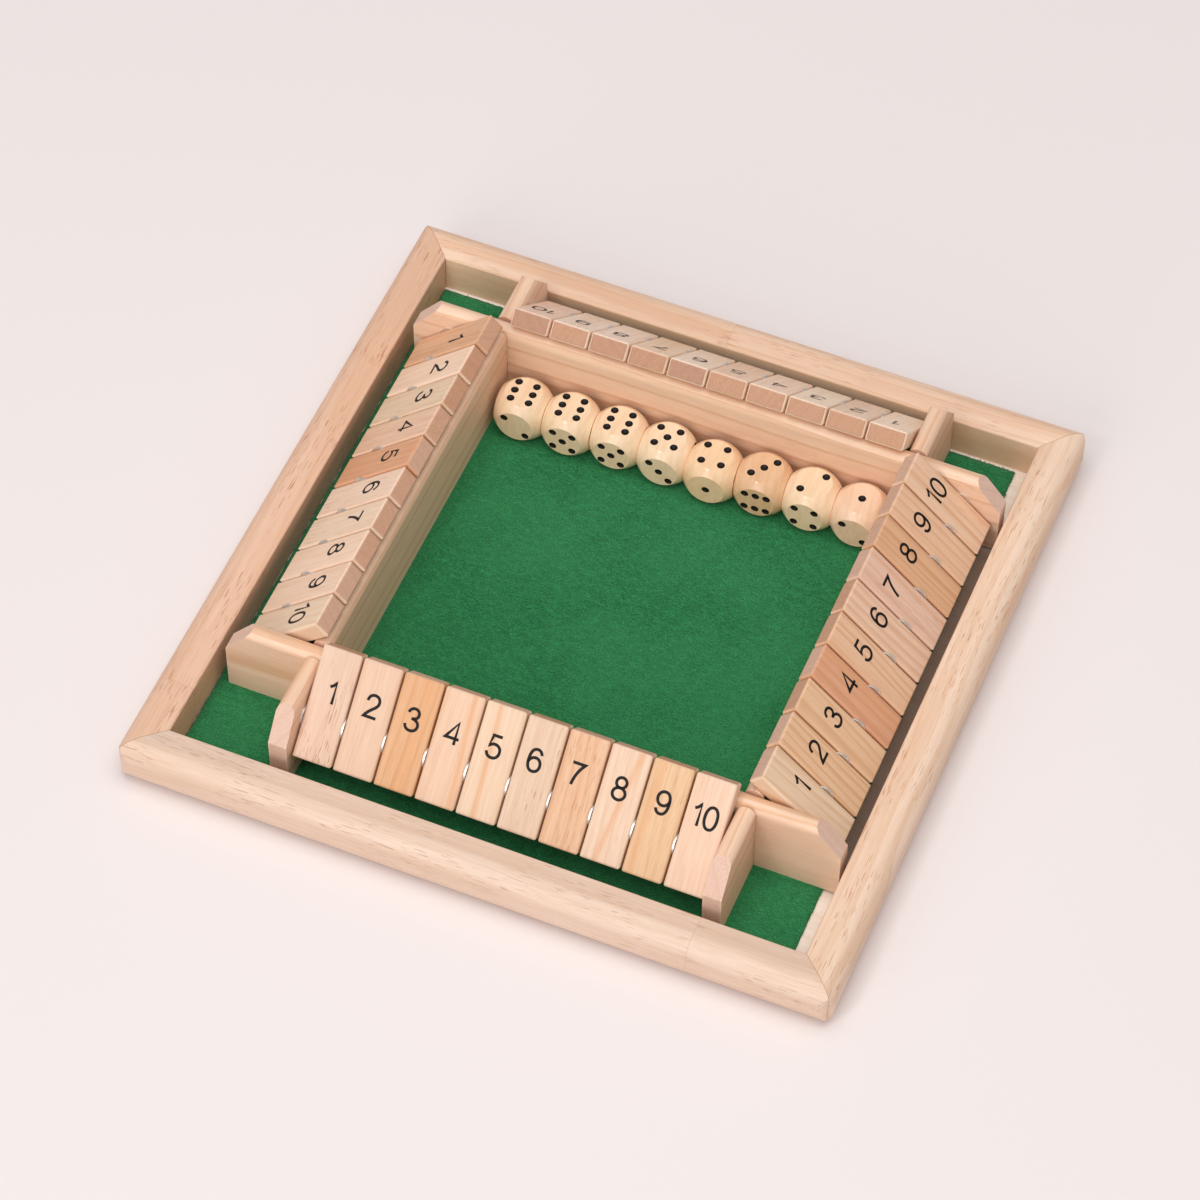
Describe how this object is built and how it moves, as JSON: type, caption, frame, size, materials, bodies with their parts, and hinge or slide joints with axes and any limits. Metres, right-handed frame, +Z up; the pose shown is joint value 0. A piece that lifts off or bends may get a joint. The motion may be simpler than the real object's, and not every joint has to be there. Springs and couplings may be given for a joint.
{
  "type": "shut the box game",
  "caption": "Square wooden tray game for four players: a hinged row of numbered tiles along each side of a felt arena, with wooden dice.",
  "frame": {"origin": "middle of the underside, on the table", "axes": "+Z up; +Y towards the back side, where the dice lie; +X to the right along the front side"},
  "size_m": [0.225, 0.225, 0.0383],
  "materials": {
    "rail_wood": "satin",
    "divider_wood": "satin",
    "tile_wood": "satin",
    "dice_wood": "gloss varnish",
    "base_ply": "matt",
    "green_felt": "matt fibrous",
    "black_paint": "matt print on the tiles and dice",
    "rod_steel": "satin"
  },
  "bodies": {
    "box": {"frame_rail_front": "rail_wood", "frame_rail_right": "rail_wood", "frame_rail_back": "rail_wood", "frame_rail_left": "rail_wood", "base_board": "base_ply", "felt_mat": "green_felt", "front_divider": "divider_wood", "back_divider": "divider_wood", "left_divider": "divider_wood", "right_divider": "divider_wood", "pivot_rods": "rod_steel", "spacer_washers": "rod_steel"},
    "tile_front_1": {"tile_front_1": "tile_wood"},
    "tile_front_2": {"tile_front_2": "tile_wood"},
    "tile_front_3": {"tile_front_3": "tile_wood"},
    "tile_front_4": {"tile_front_4": "tile_wood"},
    "tile_front_5": {"tile_front_5": "tile_wood"},
    "tile_front_6": {"tile_front_6": "tile_wood"},
    "tile_front_7": {"tile_front_7": "tile_wood"},
    "tile_front_8": {"tile_front_8": "tile_wood"},
    "tile_front_9": {"tile_front_9": "tile_wood"},
    "tile_front_10": {"tile_front_10": "tile_wood"},
    "tile_right_1": {"tile_right_1": "tile_wood"},
    "tile_right_2": {"tile_right_2": "tile_wood"},
    "tile_right_3": {"tile_right_3": "tile_wood"},
    "tile_right_4": {"tile_right_4": "tile_wood"},
    "tile_right_5": {"tile_right_5": "tile_wood"},
    "tile_right_6": {"tile_right_6": "tile_wood"},
    "tile_right_7": {"tile_right_7": "tile_wood"},
    "tile_right_8": {"tile_right_8": "tile_wood"},
    "tile_right_9": {"tile_right_9": "tile_wood"},
    "tile_right_10": {"tile_right_10": "tile_wood"},
    "tile_back_1": {"tile_back_1": "tile_wood"},
    "tile_back_2": {"tile_back_2": "tile_wood"},
    "tile_back_3": {"tile_back_3": "tile_wood"},
    "tile_back_4": {"tile_back_4": "tile_wood"},
    "tile_back_5": {"tile_back_5": "tile_wood"},
    "tile_back_6": {"tile_back_6": "tile_wood"},
    "tile_back_7": {"tile_back_7": "tile_wood"},
    "tile_back_8": {"tile_back_8": "tile_wood"},
    "tile_back_9": {"tile_back_9": "tile_wood"},
    "tile_back_10": {"tile_back_10": "tile_wood"},
    "tile_left_1": {"tile_left_1": "tile_wood"},
    "tile_left_2": {"tile_left_2": "tile_wood"},
    "tile_left_3": {"tile_left_3": "tile_wood"},
    "tile_left_4": {"tile_left_4": "tile_wood"},
    "tile_left_5": {"tile_left_5": "tile_wood"},
    "tile_left_6": {"tile_left_6": "tile_wood"},
    "tile_left_7": {"tile_left_7": "tile_wood"},
    "tile_left_8": {"tile_left_8": "tile_wood"},
    "tile_left_9": {"tile_left_9": "tile_wood"},
    "tile_left_10": {"tile_left_10": "tile_wood"},
    "die_1": {"die_1": "dice_wood"},
    "die_2": {"die_2": "dice_wood"},
    "die_3": {"die_3": "dice_wood"},
    "die_4": {"die_4": "dice_wood"},
    "die_5": {"die_5": "dice_wood"},
    "die_6": {"die_6": "dice_wood"},
    "die_7": {"die_7": "dice_wood"},
    "die_8": {"die_8": "dice_wood"}
  },
  "joints": [
    {"name": "tile_front_1_flip", "type": "hinge", "parent": "box", "child": "tile_front_1", "pos_m": [-0.05743, -0.0828, 0.02115], "axis": [1, 0, 0], "range_deg": [0, 140.3]},
    {"name": "tile_front_2_flip", "type": "hinge", "parent": "box", "child": "tile_front_2", "pos_m": [-0.04441, -0.0828, 0.02115], "axis": [1, 0, 0], "range_deg": [0, 140.3]},
    {"name": "tile_front_3_flip", "type": "hinge", "parent": "box", "child": "tile_front_3", "pos_m": [-0.03138, -0.0828, 0.02115], "axis": [1, 0, 0], "range_deg": [0, 140.3]},
    {"name": "tile_front_4_flip", "type": "hinge", "parent": "box", "child": "tile_front_4", "pos_m": [-0.01835, -0.0828, 0.02115], "axis": [1, 0, 0], "range_deg": [0, 140.3]},
    {"name": "tile_front_5_flip", "type": "hinge", "parent": "box", "child": "tile_front_5", "pos_m": [-0.00532, -0.0828, 0.02115], "axis": [1, 0, 0], "range_deg": [0, 140.3]},
    {"name": "tile_front_6_flip", "type": "hinge", "parent": "box", "child": "tile_front_6", "pos_m": [0.00771, -0.0828, 0.02115], "axis": [1, 0, 0], "range_deg": [0, 140.3]},
    {"name": "tile_front_7_flip", "type": "hinge", "parent": "box", "child": "tile_front_7", "pos_m": [0.02074, -0.0828, 0.02115], "axis": [1, 0, 0], "range_deg": [0, 140.3]},
    {"name": "tile_front_8_flip", "type": "hinge", "parent": "box", "child": "tile_front_8", "pos_m": [0.03377, -0.0828, 0.02115], "axis": [1, 0, 0], "range_deg": [0, 140.3]},
    {"name": "tile_front_9_flip", "type": "hinge", "parent": "box", "child": "tile_front_9", "pos_m": [0.0468, -0.0828, 0.02115], "axis": [1, 0, 0], "range_deg": [0, 140.3]},
    {"name": "tile_front_10_flip", "type": "hinge", "parent": "box", "child": "tile_front_10", "pos_m": [0.05983, -0.0828, 0.02115], "axis": [1, 0, 0], "range_deg": [0, 140.3]},
    {"name": "tile_right_1_flip", "type": "hinge", "parent": "box", "child": "tile_right_1", "pos_m": [0.0857, -0.05693, 0.02115], "axis": [0, 1, 0], "range_deg": [0, 139.3]},
    {"name": "tile_right_2_flip", "type": "hinge", "parent": "box", "child": "tile_right_2", "pos_m": [0.0857, -0.0439, 0.02115], "axis": [0, 1, 0], "range_deg": [0, 139.3]},
    {"name": "tile_right_3_flip", "type": "hinge", "parent": "box", "child": "tile_right_3", "pos_m": [0.0857, -0.03087, 0.02115], "axis": [0, 1, 0], "range_deg": [0, 139.3]},
    {"name": "tile_right_4_flip", "type": "hinge", "parent": "box", "child": "tile_right_4", "pos_m": [0.0857, -0.01784, 0.02115], "axis": [0, 1, 0], "range_deg": [0, 139.3]},
    {"name": "tile_right_5_flip", "type": "hinge", "parent": "box", "child": "tile_right_5", "pos_m": [0.0857, -0.00481, 0.02115], "axis": [0, 1, 0], "range_deg": [0, 139.3]},
    {"name": "tile_right_6_flip", "type": "hinge", "parent": "box", "child": "tile_right_6", "pos_m": [0.0857, 0.00822, 0.02115], "axis": [0, 1, 0], "range_deg": [0, 139.3]},
    {"name": "tile_right_7_flip", "type": "hinge", "parent": "box", "child": "tile_right_7", "pos_m": [0.0857, 0.02124, 0.02115], "axis": [0, 1, 0], "range_deg": [0, 139.3]},
    {"name": "tile_right_8_flip", "type": "hinge", "parent": "box", "child": "tile_right_8", "pos_m": [0.0857, 0.03427, 0.02115], "axis": [0, 1, 0], "range_deg": [0, 139.3]},
    {"name": "tile_right_9_flip", "type": "hinge", "parent": "box", "child": "tile_right_9", "pos_m": [0.0857, 0.0473, 0.02115], "axis": [0, 1, 0], "range_deg": [0, 139.3]},
    {"name": "tile_right_10_flip", "type": "hinge", "parent": "box", "child": "tile_right_10", "pos_m": [0.0857, 0.06033, 0.02115], "axis": [0, 1, 0], "range_deg": [0, 139.3]},
    {"name": "tile_back_1_flip", "type": "hinge", "parent": "box", "child": "tile_back_1", "pos_m": [0.05983, 0.0862, 0.02115], "axis": [-1, 0, 0], "range_deg": [0, 139.3]},
    {"name": "tile_back_2_flip", "type": "hinge", "parent": "box", "child": "tile_back_2", "pos_m": [0.0468, 0.0862, 0.02115], "axis": [-1, 0, 0], "range_deg": [0, 139.3]},
    {"name": "tile_back_3_flip", "type": "hinge", "parent": "box", "child": "tile_back_3", "pos_m": [0.03377, 0.0862, 0.02115], "axis": [-1, 0, 0], "range_deg": [0, 139.3]},
    {"name": "tile_back_4_flip", "type": "hinge", "parent": "box", "child": "tile_back_4", "pos_m": [0.02074, 0.0862, 0.02115], "axis": [-1, 0, 0], "range_deg": [0, 139.3]},
    {"name": "tile_back_5_flip", "type": "hinge", "parent": "box", "child": "tile_back_5", "pos_m": [0.00771, 0.0862, 0.02115], "axis": [-1, 0, 0], "range_deg": [0, 139.3]},
    {"name": "tile_back_6_flip", "type": "hinge", "parent": "box", "child": "tile_back_6", "pos_m": [-0.00532, 0.0862, 0.02115], "axis": [-1, 0, 0], "range_deg": [0, 139.3]},
    {"name": "tile_back_7_flip", "type": "hinge", "parent": "box", "child": "tile_back_7", "pos_m": [-0.01835, 0.0862, 0.02115], "axis": [-1, 0, 0], "range_deg": [0, 139.3]},
    {"name": "tile_back_8_flip", "type": "hinge", "parent": "box", "child": "tile_back_8", "pos_m": [-0.03138, 0.0862, 0.02115], "axis": [-1, 0, 0], "range_deg": [0, 139.3]},
    {"name": "tile_back_9_flip", "type": "hinge", "parent": "box", "child": "tile_back_9", "pos_m": [-0.04441, 0.0862, 0.02115], "axis": [-1, 0, 0], "range_deg": [0, 139.3]},
    {"name": "tile_back_10_flip", "type": "hinge", "parent": "box", "child": "tile_back_10", "pos_m": [-0.05743, 0.0862, 0.02115], "axis": [-1, 0, 0], "range_deg": [0, 139.3]},
    {"name": "tile_left_1_flip", "type": "hinge", "parent": "box", "child": "tile_left_1", "pos_m": [-0.0833, 0.06033, 0.02115], "axis": [0, -1, 0], "range_deg": [0, 140]},
    {"name": "tile_left_2_flip", "type": "hinge", "parent": "box", "child": "tile_left_2", "pos_m": [-0.0833, 0.0473, 0.02115], "axis": [0, -1, 0], "range_deg": [0, 140]},
    {"name": "tile_left_3_flip", "type": "hinge", "parent": "box", "child": "tile_left_3", "pos_m": [-0.0833, 0.03427, 0.02115], "axis": [0, -1, 0], "range_deg": [0, 140]},
    {"name": "tile_left_4_flip", "type": "hinge", "parent": "box", "child": "tile_left_4", "pos_m": [-0.0833, 0.02124, 0.02115], "axis": [0, -1, 0], "range_deg": [0, 140]},
    {"name": "tile_left_5_flip", "type": "hinge", "parent": "box", "child": "tile_left_5", "pos_m": [-0.0833, 0.00822, 0.02115], "axis": [0, -1, 0], "range_deg": [0, 140]},
    {"name": "tile_left_6_flip", "type": "hinge", "parent": "box", "child": "tile_left_6", "pos_m": [-0.0833, -0.00481, 0.02115], "axis": [0, -1, 0], "range_deg": [0, 140]},
    {"name": "tile_left_7_flip", "type": "hinge", "parent": "box", "child": "tile_left_7", "pos_m": [-0.0833, -0.01784, 0.02115], "axis": [0, -1, 0], "range_deg": [0, 140]},
    {"name": "tile_left_8_flip", "type": "hinge", "parent": "box", "child": "tile_left_8", "pos_m": [-0.0833, -0.03087, 0.02115], "axis": [0, -1, 0], "range_deg": [0, 140]},
    {"name": "tile_left_9_flip", "type": "hinge", "parent": "box", "child": "tile_left_9", "pos_m": [-0.0833, -0.0439, 0.02115], "axis": [0, -1, 0], "range_deg": [0, 140]},
    {"name": "tile_left_10_flip", "type": "hinge", "parent": "box", "child": "tile_left_10", "pos_m": [-0.0833, -0.05693, 0.02115], "axis": [0, -1, 0], "range_deg": [0, 140]},
    {"name": "die_1_lift", "type": "slide", "parent": "box", "child": "die_1", "axis": [0, 0, 1], "range_m": [0, 0.06]},
    {"name": "die_2_lift", "type": "slide", "parent": "box", "child": "die_2", "axis": [0, 0, 1], "range_m": [0, 0.06]},
    {"name": "die_3_lift", "type": "slide", "parent": "box", "child": "die_3", "axis": [0, 0, 1], "range_m": [0, 0.06]},
    {"name": "die_4_lift", "type": "slide", "parent": "box", "child": "die_4", "axis": [0, 0, 1], "range_m": [0, 0.06]},
    {"name": "die_5_lift", "type": "slide", "parent": "box", "child": "die_5", "axis": [0, 0, 1], "range_m": [0, 0.06]},
    {"name": "die_6_lift", "type": "slide", "parent": "box", "child": "die_6", "axis": [0, 0, 1], "range_m": [0, 0.06]},
    {"name": "die_7_lift", "type": "slide", "parent": "box", "child": "die_7", "axis": [0, 0, 1], "range_m": [0, 0.06]},
    {"name": "die_8_lift", "type": "slide", "parent": "box", "child": "die_8", "axis": [0, 0, 1], "range_m": [0, 0.06]}
  ]
}
